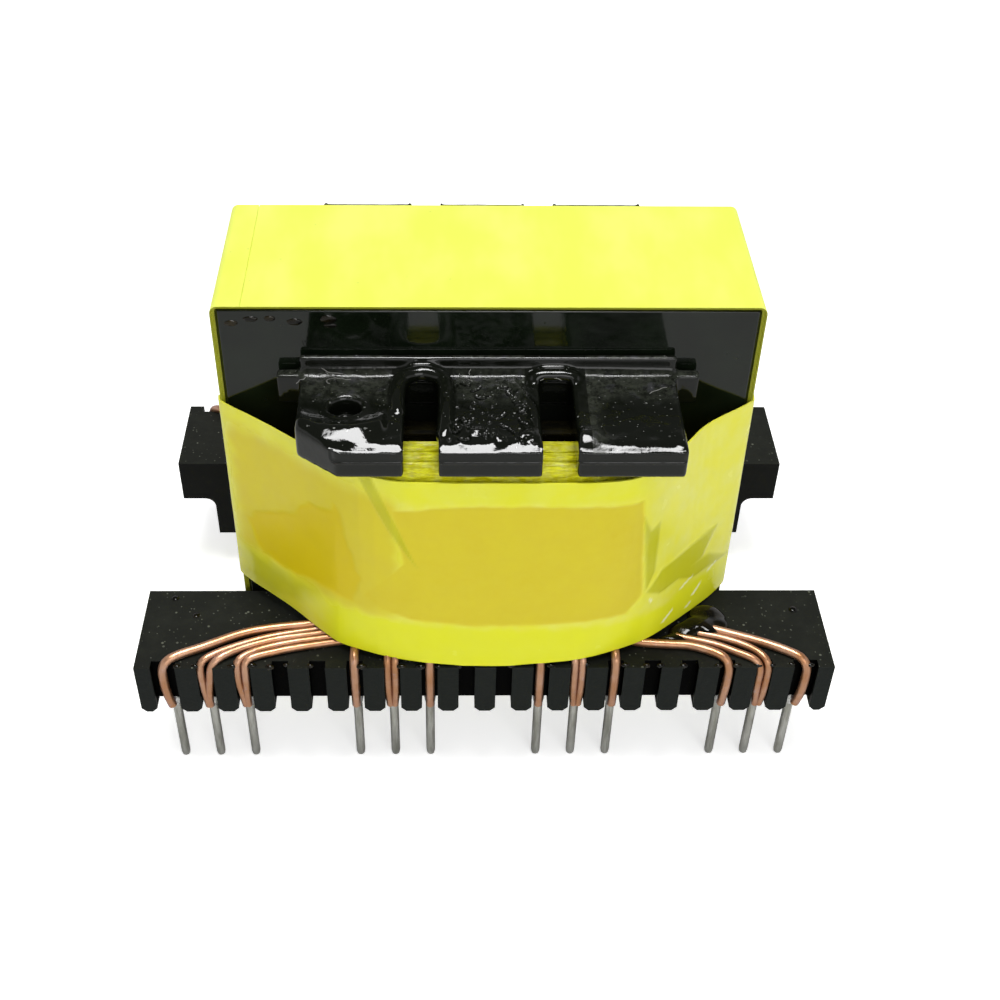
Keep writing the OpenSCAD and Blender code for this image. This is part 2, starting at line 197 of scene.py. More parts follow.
class Finish:
    """A material, or the world, and the one way its nodes are made. Its positions are millimetres."""

    def __init__(self, name, kind="materials"):
        self.owner = getattr(bpy.data, kind).new(name)
        self.owner.use_nodes = True
        self.tree = self.owner.node_tree
        self.tree.nodes.clear()

    def feed(self, socket, value):
        if isinstance(value, Value):
            self.tree.links.new(value.socket, socket)
        else:
            socket.default_value = (*value, 1) if socket.type == "RGBA" else value

    def node(self, kind, settings=None, sockets=None, output=0):
        made = self.tree.nodes.new("ShaderNode" + kind)
        for name, value in (settings or {}).items():
            setattr(made, name, value)
        for name, value in (sockets or {}).items():
            self.feed(made.inputs[name], value)
        return Value(self, made.outputs[output])

    def point(self, stretch=(1, 1, 1), shift=0.0):
        """The point on the object, in millimetres, each axis stretched and then moved on."""
        place = self.node("TexCoord", output="Object")
        scale = tuple(s / MM for s in stretch)
        place = self.node("VectorMath", {"operation": "MULTIPLY"}, {0: place, 1: scale})
        return self.node("VectorMath", {"operation": "ADD"}, {0: place, 1: (shift,) * 3})

    def part(self, vector, axis):
        return self.node("SeparateXYZ", {}, {0: vector}, output=axis)

    def axes(self):
        place = self.point()
        return [self.part(place, axis) for axis in range(3)]

    def facing(self, axis=2):
        """How far the surface faces along an axis, as a rule up."""
        return self.part(self.node("NewGeometry", output="Normal"), axis)

    def rays(self):
        """Whether the ray is the camera's, a reflection's and one that went through glass."""
        kinds = ("Is Camera Ray", "Is Glossy Ray", "Is Transmission Ray")
        return [self.node("LightPath", output=kind) for kind in kinds]

    def cloud(self, size, detail=3, rough=0.5, stretch=(1, 1, 1), shift=0.0):
        """Soft noise of about that size in millimetres, 0 to 1."""
        return self.node("TexNoise", {}, {
            "Vector": self.point(stretch, shift), "Scale": 1 / size, "Detail": detail, "Roughness": rough})

    def specks(self, spacing, radius, shift=0.0):
        """1 in small round specks about that far apart, 0 elsewhere, in millimetres."""
        away = self.node("TexVoronoi", {}, {
            "Vector": self.point(shift=shift), "Scale": 1 / spacing, "Randomness": 1.0})
        return 1 - away.between(0.6 * radius / spacing, radius / spacing)

    def mix(self, factor, first, second):
        return self.node("Mix", {"data_type": "RGBA"}, {0: factor, 6: first, 7: second}, output=2)

    def attribute(self, name):
        return self.node("Attribute", {"attribute_name": name}, output="Fac")

    def bump(self, height, depth, strength=1.0):
        """A normal from a height of 0 to 1 that stands for that depth in millimetres."""
        return self.node("Bump", {}, {"Height": height, "Distance": depth * MM, "Strength": strength})

    def shine(self, colour, rough, normal=None, matt=None, **others):
        """Ends the finish in a Principled shader, mixed to that share with a matt black that paints shade,
        and returns the material.
        """
        sockets = {"Base Color": colour, "Roughness": rough}
        if normal is not None:
            sockets["Normal"] = normal
        sockets.update((name.replace("_", " "), value) for name, value in others.items())
        shader = self.node("BsdfPrincipled", {}, sockets)
        if matt is not None:
            black = self.node("BsdfDiffuse", {}, {"Color": (0.001, 0.001, 0.001)})
            shader = self.node("MixShader", {}, {0: matt, 1: shader, 2: black})
        return self.end(shader)

    def end(self, shader, kind="OutputMaterial"):
        """Joins the shader to the output and returns the material or the world."""
        output = self.tree.nodes.new("ShaderNode" + kind)
        self.feed(output.inputs["Surface"], shader)
        return self.owner


def moulding_finish():
    """Moulded plastic: dusty on top of the rails, with painted shade near black on the faces below the rail
    top and on the slot walls.
    """
    s = bpy.context.scene.transformer_moulding
    f = Finish("moulding_dusty")
    _, y, z = f.axes()
    top = f.facing().between(0.6, 0.95)
    dust = f.cloud(1.6, 4, 0.65).between(0.35, 0.8)
    grit = f.specks(0.42, 0.07) * 0.8 + f.specks(0.9, 0.11, 5.0)
    grit = grit * f.cloud(1.3, 2, shift=9.0).between(0.35, 0.6)
    # Painted shade: faces below the rail top are made near black, and the tooth fronts are lifted a little
    # back out of it, so they are lighter than the slot walls.
    front = (1 - top) * abs(y).between(14.45, 14.6)
    deep = (1 - top) * (z < RAIL_TOP - 0.05)
    colour = f.mix(deep, s.colour, (0.0012, 0.0016, 0.001))
    colour = f.mix(front * 0.09, colour, (0.04, 0.06, 0.05))
    colour = f.mix(top * (dust * 0.1 + 0.04), colour, s.dust)
    colour = f.mix(top * grit * 0.8, colour, (0.14, 0.15, 0.12))
    height = f.cloud(0.35, 4, 0.7) * 0.5 + grit * top * 0.6
    rough = 0.36 + top * 0.14 + f.cloud(0.6, 2) * 0.12
    # Painted shade: the walls of the slots are mixed towards a matt black.
    slot = deep * abs(y).between(14.45, 14.3) * (z > SLOT_LOW) * abs(y).between(13.7, 13.8)
    return f.shine(colour, rough, f.bump(height, 0.06, 0.6), matt=slot * 0.85, Specular_IOR_Level=0.1)


def varnish_finish():
    """Moulded plastic under varnish: wet and wavy, hazed with dust at the roots."""
    s = bpy.context.scene.transformer_moulding
    f = Finish("moulding_varnished")
    x, y, z = f.axes()
    top = f.facing().between(0.5, 0.9)
    in_from_tip = TAB_TIP - abs(y)
    patch = f.cloud(1.8, 4, 0.6, shift=3.0)
    root = (in_from_tip + patch * 3.2).between(5.2, 8.0)
    side = (abs(x - 6.1) + patch * 2.4).between(2.4, 1.3) * (y < 0)
    wet = (abs(abs(x) - TAB_SLOT_X) < 1.9) * (y < 0)
    haze = top * (root + side).between(0.0, 1.2) * f.cloud(0.45, 5, 0.75).between(0.3, 0.7)
    haze = haze * (1 - wet * 0.9)
    grit = (f.specks(0.36, 0.045, 2.0) + f.specks(0.8, 0.09, 6.0)) * top * patch.between(0.35, 0.6)
    colour = f.mix(haze * 0.6, s.colour, s.dust)
    colour = f.mix(grit * 0.7, colour, (0.3, 0.31, 0.29))
    lilac = haze * f.cloud(0.8, 2, shift=8.0).between(0.55, 0.7)
    colour = f.mix(lilac * 0.25, colour, (0.08, 0.07, 0.12))
    seam = abs(z - (TAB_TOP - 0.98)).between(0.1, 0.03) * (abs(y) > TAB_TIP - 0.3)
    bubbles = abs(x - 0.2).between(3.0, 2.4) * in_from_tip.between(0.5, 1.1) * (y < 0) * top
    ripple = f.cloud(0.75, 2, 0.5, shift=1.0)
    height = (
        f.cloud(0.6, 3, 0.6) * 0.35 + f.cloud(0.16, 2) * haze * 0.4 + f.cloud(0.2, 3) * seam * 1.2
        + ripple * (0.2 + bubbles * 0.5))
    rough = 0.05 + haze * 0.2 + f.cloud(0.8, 2) * 0.03
    return f.shine(colour, rough, f.bump(height, 0.07, 0.6), Specular_IOR_Level=0.26)


def ferrite_finish():
    """Ground ferrite under a thin coat of varnish."""
    s = bpy.context.scene.transformer_core
    f = Finish("ferrite_varnished")
    mottle = f.cloud(2.6, 4, 0.6).between(0.3, 0.75)
    colour = f.mix(mottle, s.colour, [2.0 * c for c in s.colour])
    height = f.cloud(1.4, 3, 0.5) * 0.6 + f.cloud(0.12, 2) * 0.12
    rough = 0.05 + mottle * 0.04 + f.specks(1.3, 0.1) * 0.3
    return f.shine(colour, rough, f.bump(height, 0.03, 0.2), Specular_IOR_Level=0.32)


def binding_finish():
    """Bright film tape, a little uneven where air is under it."""
    s = bpy.context.scene.transformer_tape
    f = Finish("binding_tape")
    paler = [min(1.0, c * m) for c, m in zip(s.binding, (1.06, 1.06, 1.7))]
    air = f.cloud(3.4, 3, 0.5, stretch=(1, 0.45, 1)).between(0.35, 0.75)
    flecks = f.specks(2.6, 0.1)
    colour = f.mix(air, s.binding, paler)
    colour = f.mix(flecks * 0.25, colour, (0.5, 0.5, 0.03))
    # Painted shade: the cut edges of the film, which face front and back, are made dark olive.
    colour = f.mix(abs(f.facing(1)).between(0.6, 0.9), colour, (0.3, 0.31, 0.012))
    height = f.cloud(2.2, 2, 0.4, stretch=(0.4, 1, 0.4)) * 0.6 + f.cloud(0.3, 2) * 0.1
    return f.shine(colour, 0.36 + air * 0.1, f.bump(height, 0.05, 0.3), Specular_IOR_Level=0.25)


def wrap_finish():
    """Creased film tape: its tint shows what lies close under it, with painted light, painted glints and
    painted shade laid over it.
    """
    s = bpy.context.scene.transformer_tape
    f = Finish("wrap_tape")
    mottle = f.cloud(2.4, 4, 0.55)
    fine = f.cloud(0.7, 3, 0.55, shift=4.0)
    wetted, stuck, folded_and_shaded, lit, gleam = (f.attribute(name) for name in WRAP_TINTS)
    pale = [min(1.0, c * m) for c, m in zip(s.wrap, (1.0, 1.02, 2.4))]
    colour = f.mix(mottle.between(0.35, 0.7), s.wrap, pale)
    colour = f.mix(wetted * (0.66 + mottle * 0.35 + fine * 0.15), colour, s.wetted)
    colour = f.mix(stuck * (0.85 + mottle * 0.15), colour, s.stuck)
    # Folds are darker, and the same tint paints shade at the lower left.
    colour = f.mix(folded_and_shaded, colour, s.folded_and_shaded)
    colour = f.mix(lit * 0.85, colour, (0.77, 0.79, 0.012))
    # Painted glints, near white, where the tape catches the light.
    colour = f.mix(gleam, colour, (0.95, 0.97, 0.6))
    height = f.cloud(1.5, 3, 0.5) * 0.5 + fine * 0.2 + folded_and_shaded * f.cloud(0.4, 3, 0.6) * 0.5
    rough = 0.22 + wetted * 0.06 + mottle * 0.08 - folded_and_shaded * 0.1
    return f.shine(colour, rough, f.bump(height, 0.06, 0.4), Specular_IOR_Level=0.2)


def layer_finish():
    """Wet edges of the wound tape layers."""
    f = Finish("tape_edges_wet")
    line = f.cloud(0.22, 3, 0.6, stretch=(0.25, 1, 1))
    patch = f.cloud(0.9, 3, 0.6, shift=2.0).between(0.4, 0.7)
    colour = f.mix(line.between(0.35, 0.7), (0.5, 0.46, 0.004), (0.82, 0.82, 0.02))
    colour = f.mix(patch * 0.35, colour, (0.8, 0.82, 0.22))
    height = line * 0.8 + f.cloud(0.3, 3, 0.6) * 0.5
    return f.shine(colour, 0.1 + patch * 0.1, f.bump(height, 0.12, 0.8), Specular_IOR_Level=0.35)


def soaked_and_shaded_finish():
    """Winding and tape down in the slots, darkened by varnish and painted near black for the shade they lie
    in.
    """
    f = Finish("soaked_and_shaded_winding")
    turns = f.cloud(0.4, 3, 0.6, stretch=(0.2, 1, 1))
    colour = f.mix(turns.between(0.3, 0.75), (0.003, 0.003, 0.002), (0.014, 0.012, 0.004))
    return f.shine(colour, 0.18, f.bump(turns, 0.1, 0.6), Specular_IOR_Level=0.2)


def copper_finish():
    """Enamelled copper wire with its drawn grain and a lilac cast at the edges."""
    s = bpy.context.scene.transformer_leads
    f = Finish("lead_copper")
    drift = f.cloud(2.2, 3, 0.6).between(0.3, 0.75)
    scuff = f.cloud(0.35, 4, 0.7, shift=6.0).between(0.55, 0.8)
    colour = f.mix(drift, s.copper, [c + 0.1 for c in s.copper])
    colour = f.mix(scuff * 0.6, colour, (0.42, 0.36, 0.4))
    rough = 0.38 + scuff * 0.15 + drift * 0.06
    return f.shine(
        colour, rough, f.bump(f.cloud(0.2, 3, 0.6), 0.02, 0.5), Metallic=0.82,
        Specular_Tint=(0.5, 0.55, 0.85), Coat_Weight=0.25, Coat_Roughness=0.16)


def pin_finish():
    """Bright tinned wire."""
    f = Finish("pin_tinned")
    streak = f.cloud(0.4, 3, 0.6, stretch=(1, 1, 0.15))
    colour = f.mix(streak.between(0.3, 0.75), (0.22, 0.22, 0.19), (0.42, 0.42, 0.39))
    return f.shine(colour, 0.24 + streak * 0.14, f.bump(streak, 0.02, 0.4), Metallic=0.95)


def solder_finish():
    """Solder with a slightly frosted skin."""
    f = Finish("solder_skin")
    frost = f.cloud(0.25, 4, 0.6)
    colour = f.mix(frost.between(0.35, 0.7), (0.3, 0.3, 0.28), (0.6, 0.6, 0.58))
    return f.shine(colour, 0.22 + frost * 0.2, f.bump(frost, 0.03, 0.5), Metallic=0.9)


def pool_finish():
    """Set varnish, thick enough to look black."""
    f = Finish("varnish_pool")
    tint = f.cloud(1.1, 3, 0.6).between(0.4, 0.75)
    colour = f.mix(tint, (0.003, 0.003, 0.002), (0.02, 0.014, 0.004))
    return f.shine(colour, 0.06, f.bump(f.cloud(0.8, 3, 0.5), 0.1, 0.4), Specular_IOR_Level=0.18)


# ---- making and finishing pieces ----


def smooth_by_angle(bm, degrees):
    """Faces shade smooth, with sharp edges where they meet more steeply than that."""
    for face in bm.faces:
        face.smooth = True
    for edge in bm.edges:
        edge.smooth = len(edge.link_faces) != 2 or edge.calc_face_angle(0) < math.radians(degrees)


def in_scene(name, data):
    """An object of that name and data, in the scene."""
    made = bpy.data.objects.new(name, data)
    bpy.context.scene.collection.objects.link(made)
    return made


def set_down(bm, name, *materials):
    """Turns the bmesh into an object in the scene."""
    mesh = bpy.data.meshes.new(name)
    bm.to_mesh(mesh)
    bm.free()
    for material in materials:
        mesh.materials.append(material)
    return in_scene(name, mesh)


def finish_piece(bm, name, material, replaced=(), angle=35, turn_out=True):
    """Makes the bmesh, in millimetres, a piece of the object, in metres."""
    if turn_out:
        bmesh.ops.recalc_face_normals(bm, faces=bm.faces)
    smooth_by_angle(bm, angle)
    bmesh.ops.scale(bm, vec=(MM,) * 3, verts=bm.verts)
    piece = set_down(bm, name, material)
    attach(piece, "root")
    if replaced:
        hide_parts(*replaced)
    return piece


def copy_of(node):
    """A merged copy of a node of the frame as a bmesh, in millimetres."""
    bm = bmesh.new()
    bm.from_mesh(NODES[node].data)
    bmesh.ops.scale(bm, vec=(1 / MM,) * 3, verts=bm.verts)
    bmesh.ops.remove_doubles(bm, verts=bm.verts, dist=0.002)
    bmesh.ops.dissolve_limit(bm, angle_limit=math.radians(0.5), verts=bm.verts, edges=bm.edges)
    return bm


def cut_at(bm, height, keep_above):
    """Cuts the bmesh level at that height, keeps one side and closes it."""
    bmesh.ops.bisect_plane(
        bm, geom=bm.verts[:] + bm.edges[:] + bm.faces[:], plane_co=(0, 0, height), plane_no=(0, 0, 1),
        clear_inner=keep_above, clear_outer=not keep_above)
    rim = [e for e in bm.edges if e.is_boundary]
    bmesh.ops.triangle_fill(bm, edges=rim, use_beauty=True, use_dissolve=True)


def round_edges(piece, width, segments=3, angle=35):
    bevel = piece.modifiers.new("rounded edges", "BEVEL")
    bevel.width = width
    bevel.segments = segments
    bevel.limit_method = "ANGLE"
    bevel.angle_limit = math.radians(angle)
    bevel.harden_normals = True


def melted(bm, grain, rounds):
    """The bmesh's pieces run into one even skin and smoothed, all in millimetres."""
    bmesh.ops.recalc_face_normals(bm, faces=bm.faces)
    rough = set_down(bm, "melt")
    mesh = rough.data
    grid = rough.modifiers.new("even mesh", "REMESH")
    grid.mode = "VOXEL"
    grid.voxel_size = grain
    bm = bmesh.new()
    bm.from_object(rough, bpy.context.evaluated_depsgraph_get())
    bpy.data.objects.remove(rough)
    bpy.data.meshes.remove(mesh)
    for _ in range(rounds):
        bmesh.ops.smooth_vert(
            bm, verts=bm.verts, factor=0.5, use_axis_x=True, use_axis_y=True, use_axis_z=True)
    bm.normal_update()
    return bm


def rounded_off(outline, rounds=2):
    """A line of points with its corners cut off, again and again."""
    for _ in range(rounds):
        cut = [outline[0]]
        for a, b in zip(outline, outline[1:]):
            cut += [tuple(p + t * (q - p) for p, q in zip(a, b)) for t in (0.25, 0.75)]
        outline = cut + [outline[-1]]
    return outline


def divided(outline, spacing):
    """A closed outline with points added so that none are further apart than that."""
    points = []
    for a, b in zip(outline, outline[1:] + outline[:1]):
        steps = max(1, math.ceil(math.dist(a, b) / spacing))
        points += [tuple(p + (q - p) * i / steps for p, q in zip(a, b)) for i in range(steps)]
    return points


def curve_through(points, spacing=0.2):
    """Points a set distance apart on a smooth curve through the given ones."""
    out = []
    for i in range(len(points) - 1):
        places = (max(0, min(len(points) - 1, i + k)) for k in (-1, 0, 1, 2))
        before, a, b, after = (Vector(points[place]) for place in places)
        steps = max(2, round((b - a).length / spacing))
        for step in range(steps):
            t = step / steps
            out.append(0.5 * (
                2 * a + (b - before) * t + (2 * before - 5 * a + 4 * b - after) * t * t
                + (3 * a - before - 3 * b + after) * t ** 3))
    out.append(Vector(points[-1]))
    return out


def parted(geom):
    """The corners and the faces among what a bmesh operator made."""
    return [[g for g in geom if isinstance(g, kind)] for kind in (bmesh.types.BMVert, bmesh.types.BMFace)]


def sweep(bm, path, radius, sides=12):
    """Adds a round wire along the path, by moving a ring on and extruding it."""
    start = (path[1] - path[0]).normalized()
    turn = Vector((0, 0, 1)).rotation_difference(start)
    place = Matrix.Translation(path[0]) @ turn.to_matrix().to_4x4()
    ring = bmesh.ops.create_circle(bm, cap_ends=True, segments=sides, radius=radius, matrix=place)
    face = ring["verts"][0].link_faces[0]
    heading = start
    for i in range(1, len(path)):
        ahead = (path[min(i + 1, len(path) - 1)] - path[i - 1]).normalized()
        made = bmesh.ops.extrude_face_region(bm, geom=[face], use_keep_orig=(i == 1))["geom"]
        moved, (face, *_) = parted(made)
        bend = heading.rotation_difference(ahead).to_matrix()
        bmesh.ops.rotate(bm, verts=moved, cent=path[i - 1], matrix=bend)
        centre = sum((v.co for v in moved), Vector()) / len(moved)
        bmesh.ops.translate(bm, verts=moved, vec=path[i] - centre)
        heading = ahead


def band(bm, outline, low, high, thickness, closed=True):
    """Adds an upright strip on an outline of (x, y) points, as thick inwards as given."""
    verts = [bm.verts.new((x, y, low)) for x, y in outline]
    pairs = list(zip(verts, verts[1:])) + ([(verts[-1], verts[0])] if closed else [])
    edges = [bm.edges.new(pair) for pair in pairs]
    made = bmesh.ops.extrude_edge_only(bm, edges=edges)["geom"]
    raised, faces = parted(made)
    bmesh.ops.translate(bm, verts=raised, vec=(0, 0, high - low))
    bmesh.ops.recalc_face_normals(bm, faces=faces)
    bmesh.ops.solidify(bm, geom=faces, thickness=thickness)
    return verts + raised


def rounded_outline(half_x, half_y, radius, steps=8):
    """A rounded rectangle as (x, y) points, once round."""
    points = []
    for corner, (sx, sy) in enumerate(((1, 1), (-1, 1), (-1, -1), (1, -1))):
        for i in range(steps + 1):
            angle = math.radians(90 * (corner + i / steps))
            points.append((
                sx * (half_x - radius) + radius * math.cos(angle),
                sy * (half_y - radius) + radius * math.sin(angle)))
    return points


def ease(low, high, value):
    """0 at low and 1 at high, smooth between, the other way round if low is the higher."""
    t = max(0.0, min(1.0, (value - low) / (high - low)))
    return t * t * (3 - 2 * t)


def inside(point, outline, soft):
    """1 well inside a closed outline, 0 well outside, and soft over its edge."""
    x, y = point
    nearest = 1e9
    within = False
    for (ax, ay), (bx, by) in zip(outline, outline[1:] + outline[:1]):
        if (ay > y) != (by > y) and x < ax + (y - ay) * (bx - ax) / (by - ay):
            within = not within
        dx, dy = bx - ax, by - ay
        t = max(0.0, min(1.0, ((x - ax) * dx + (y - ay) * dy) / (dx * dx + dy * dy)))
        nearest = min(nearest, math.hypot(x - ax - t * dx, y - ay - t * dy))
    return ease(-soft, soft, nearest if within else -nearest)


# ---- bobbin ----


# Beads that varnish left on the flange: an arch round the end of one slot, a bar across
# the end of the other, and the fillet along the foot of the rib.
VARNISH_BEADS = (
    (((-5.6, -11.0, 25.95), (-5.7, -9.8, 26.2), (-5.6, -8.6, 26.4), (-5.25, -7.8, 26.5),
      (-4.15, -7.4, 26.55), (-3.05, -7.8, 26.5), (-2.7, -8.6, 26.4), (-2.65, -10.0, 26.25),
      (-2.7, -12.0, 26.1), (-2.8, -13.2, 25.9)), 0.55),
    (((1.5, -7.9, 26.1), (1.75, -8.8, 26.28), (2.2, -9.8, 26.32), (2.6, -10.8, 26.3), (2.75, -12.4, 26.2),
      (2.8, -13.6, 26.05)), 0.3),
    (((2.8, -7.7, 26.2), (3.2, -7.5, 26.42), (4.15, -7.45, 26.45), (5.1, -7.5, 26.42),
      (5.5, -7.7, 26.2)), 0.45),
    (((-11.6, -7.0, 26.22), (-6.0, -7.05, 26.25), (0.0, -7.0, 26.3), (6.0, -7.05, 26.25),
      (11.6, -7.0, 26.22)), 0.3),
)


class TRANSFORMER_OT_bobbin(bpy.types.Operator):
    """Makes the bobbin: dusty rails and tube, and the varnished flange with its tabs"""

    bl_idname = "transformer.bobbin"
    bl_label = "Bobbin"

    def execute(self, context):
        s = context.scene.transformer_moulding
        bm = copy_of("bobbin")
        cut_at(bm, FLANGE_CUT, keep_above=False)
        lower = finish_piece(bm, "bobbin_rails", moulding_finish(), ["bobbin"])
        round_edges(lower, s.edge)
        self.flange(s)
        return {"FINISHED"}

    def flange(self, s):
        """The upper flange, its edges drawn round and its top made wavy by varnish."""
        bm = copy_of("bobbin")
        cut_at(bm, FLANGE_CUT, keep_above=True)
        for side in (1, -1):
            for path, radius in VARNISH_BEADS:
                sweep(bm, curve_through([(x, y * side, z) for x, y, z in path], 0.3), radius, 10)
        material = varnish_finish()
        bm = melted(bm, s.grain / MM, 3)
        moves = [self.varnish(v, s.wave / MM) for v in bm.verts]
        for vert, move in zip(bm.verts, moves):
            vert.co += move
            vert.co.y = max(-TAB_TIP, min(TAB_TIP, vert.co.y))
        finish_piece(bm, "bobbin_flange", material, angle=180)
        self.wrinkles(material)
        self.fibres()

    def fibres(self):
        """A few fine fibres caught in the varnish."""
        random.seed(3)
        f = Finish("fibre")
        colour = f.mix(f.cloud(0.5), (0.1, 0.1, 0.09), (0.35, 0.35, 0.33))
        material = f.shine(colour, 0.5, Specular_IOR_Level=0.2)
        bm = bmesh.new()
        tufts = ((-9.4, -7.6, 4), (3.4, -6.9, 4), (-11.4, -7.4, 1), (11.3, -8.5, 1), (-1.4, -7.4, 2))
        for x, y, count in tufts:
            for _ in range(count):
                at = Vector((x + random.uniform(-0.7, 0.7), y + random.uniform(-0.5, 0.3), 26.42))
                turn = random.uniform(0, 6.3)
                path = []
                for _ in range(6):
                    path.append(at.copy())
                    turn += random.uniform(-0.7, 0.7)
                    at += Vector((0.3 * math.cos(turn), 0.24 * math.sin(turn), random.uniform(-0.03, 0.1)))
                sweep(bm, curve_through(path, 0.2), 0.022, 5)
        finish_piece(bm, "flange_fibres", material, angle=180)

    def wrinkles(self, material):
        """Short raised wrinkles and blisters in the varnish on the middle tab."""
        random.seed(11)
        bm = bmesh.new()
        for _ in range(30):
            x, y = random.uniform(-2.3, 2.4), -random.uniform(8.2, 13.9)
            turn, bend = random.uniform(0, 6.3), random.uniform(-2.4, 2.4)
            path = []
            for _ in range(random.randint(4, 7)):
                path.append((x, y, TAB_TOP + random.uniform(0.0, 0.05)))
                x = max(-2.6, min(2.6, x + 0.17 * math.cos(turn)))
                y = max(-14.1, y + 0.17 * math.sin(turn))
                turn += bend * 0.3
            path[0] = path[0][:2] + (TAB_TOP - 0.08,)
            path[-1] = path[-1][:2] + (TAB_TOP - 0.08,)
            sweep(bm, curve_through(path, 0.12), random.uniform(0.1, 0.17), 10)
        for _ in range(16):
            r = random.uniform(0.12, 0.3)
            centre = (random.uniform(-2.6, 2.6), -random.uniform(8.0, 13.9), TAB_TOP - 0.3 * r)
            bmesh.ops.create_icosphere(bm, subdivisions=3, radius=r, matrix=Matrix.Translation(centre))
        finish_piece(bm, "flange_wrinkles", material, angle=180)

    def varnish(self, vert, wave):
        """How far the varnish moves a point of the flange."""
        x, y, z = vert.co
        up = vert.normal.z
        front = y < 0
        tip = TAB_TIP - abs(y)
        rise = 0.0
        if up > 0.3 and tip < 7.4:
            rise = wave * (noise.noise(vert.co / 1.7) + 0.5 * noise.noise(vert.co / 0.7))
            bubbly = ease(3.0, 2.2, abs(x)) * ease(0.8, 1.6, tip) if front else 0.35
            rise += bubbly * 1.6 * wave * max(0.0, noise.noise(vert.co / 0.36 + Vector((9, 0, 0))) - 0.05)
            rise -= 0.34 * ease(1.15, 0.0, tip) ** 2
            if front:
                rise += self.ledges(vert.co)
        inward = 0.0
        if tip < 0.3 and abs(vert.normal.y) > 0.6 and z > TAB_TOP - 0.93:
            inward = 0.08
        return Vector((0, inward * (1 if front else -1), rise * up))

    def ledges(self, point):
        """Height of the thick varnish along the tips of the front tabs, and of the rim round the pit."""
        x, y, _ = point
        bowed = y - 0.13 * (x + 8.9) ** 2
        slope = max(0.0, min(1.0, (bowed + 14.3) / 1.1))
        rise = 0.45 * slope * ease(-11.2, -13.0, bowed) * ease(-6.0, -6.7, x)
        straight = 0.3 * max(0.0, min(1.0, (y + 14.3) / 0.8)) * ease(-12.2, -13.4, y)
        rise += straight * ease(2.9, 2.3, abs(x)) * ease(0.0, 0.3, noise.noise(point))
        rise += straight * ease(7.0, 6.0, x) * (x > 4)
        pit = math.hypot(x - MARK_X, y - MARK_Y)
        return rise + 0.16 * ease(1.5, 1.2, pit) * ease(MARK_RADIUS, 1.1, pit)


# ---- core ----


class TRANSFORMER_OT_core(bpy.types.Operator):
    """Makes the two ferrite halves with their edges ground"""

    bl_idname = "transformer.core"
    bl_label = "Core"

    def execute(self, context):
        s = context.scene.transformer_core
        material = ferrite_finish()
        for name in ("upper_core_half", "lower_core_half"):
            bm = copy_of(name)
            for vert in bm.verts:
                self.narrow(vert)
            piece = finish_piece(bm, "ferrite_" + name, material, [name], turn_out=False)
            round_edges(piece, s.edge, 2)
        return {"FINISHED"}

    def narrow(self, vert, chamfer=0.6, ground=0.25):
        """Moves a corner of the upright chamfer out, so that less of it shows."""
        x, y = abs(vert.co.x), abs(vert.co.y)
        if x > CORE_HIGH.x - 0.01 and abs(y - (CORE_HIGH.y - chamfer)) < 0.01:
            vert.co.y = math.copysign(CORE_HIGH.y - ground, vert.co.y)
        elif y > CORE_HIGH.y - 0.01 and abs(x - (CORE_HIGH.x - chamfer)) < 0.01:
            vert.co.x = math.copysign(CORE_HIGH.x - ground, vert.co.x)


class TRANSFORMER_OT_binding(bpy.types.Operator):
    """Makes the tape round the core: layers with uneven edges and an end that shows"""

    bl_idname = "transformer.binding"
    bl_label = "Binding tape"

    def execute(self, context):
        film = context.scene.transformer_tape.film / MM
        half_x, half_z = CORE_HIGH.x, (CORE_HIGH.z - CORE_LOW.z) / 2
        middle = (CORE_HIGH.z + CORE_LOW.z) / 2
        depth = CORE_HIGH.y
        bm = bmesh.new()
        setbacks = ((0.24, 0.22), (0.18, 0.2), (0.1, 0.14), (0.0, 0.02))
        for layer, (front, rear) in enumerate(setbacks):
            out = (layer + 1) * film
            outline = rounded_outline(half_x + out, half_z + out, 0.25 + out)
            outermost = layer == len(setbacks) - 1
            if outermost:
                outline = self.opened(outline, half_z + out)
            band(bm, outline, -depth + front, depth - rear, film * 0.96, closed=not outermost)
        bmesh.ops.rotate(bm, verts=bm.verts, cent=(0, 0, 0), matrix=Matrix.Rotation(math.radians(90), 3, "X"))
        bmesh.ops.translate(bm, verts=bm.verts, vec=(0, 0, middle))
        finish_piece(bm, "core_binding_layers", binding_finish(), ["core_binding_tape"])
        return {"FINISHED"}

    def opened(self, outline, top):
        """The outline begun on top, near the left corner, and taken once round to where it began."""
        start = -15.3
        corner = len(outline) // 4
        return [(start, top), *outline[corner:], *outline[:corner], (start + 0.05, top)]


# ---- winding and wrap ----


# Half of the wrap seen from above, from the left leg round the front to the right
# leg: foot of the tape, then its top edge.
WRAP_FOOT = (
    (-17.42, -5.6), (-17.35, -6.35), (-13.7, -9.3), (-10.7, -12.3), (-9.6, -13.1), (-5.8, -14.3),
    (-1.1, -14.6), (5.1, -14.5), (8.5, -13.75), (11.4, -12.5), (13.2, -10.8), (15.4, -8.65),
    (17.4, -6.4), (17.46, -5.6))
WRAP_HEAD = (
    (-17.4, -5.6), (-17.33, -6.25), (-14.5, -8.3), (-12.0, -10.4), (-10.1, -12.0), (-6.9, -14.35),
    (-1.5, -14.55), (3.5, -14.55), (7.8, -14.45), (10.0, -13.6), (12.5, -10.6), (13.9, -8.6),
    (17.33, -6.25), (17.4, -5.6))
WRAP_LOW = 7.36
# How far the foot of the tape rises, as (x, rise) from left to right.
WRAP_FOOT_RISE = (
    (-17.6, 0.95), (-15.0, 0.85), (-12.6, 0.75), (-10.4, 0.62), (-8.4, 0.52), (-5.8, 0.32),
    (-3.4, 0.2), (-1.6, 0.06), (1.6, 0.06), (3.4, 0.2), (5.8, 0.32), (8.4, 0.52), (12.0, 0.62),
    (14.0, 0.4), (16.0, 0.1), (17.6, 0.0))
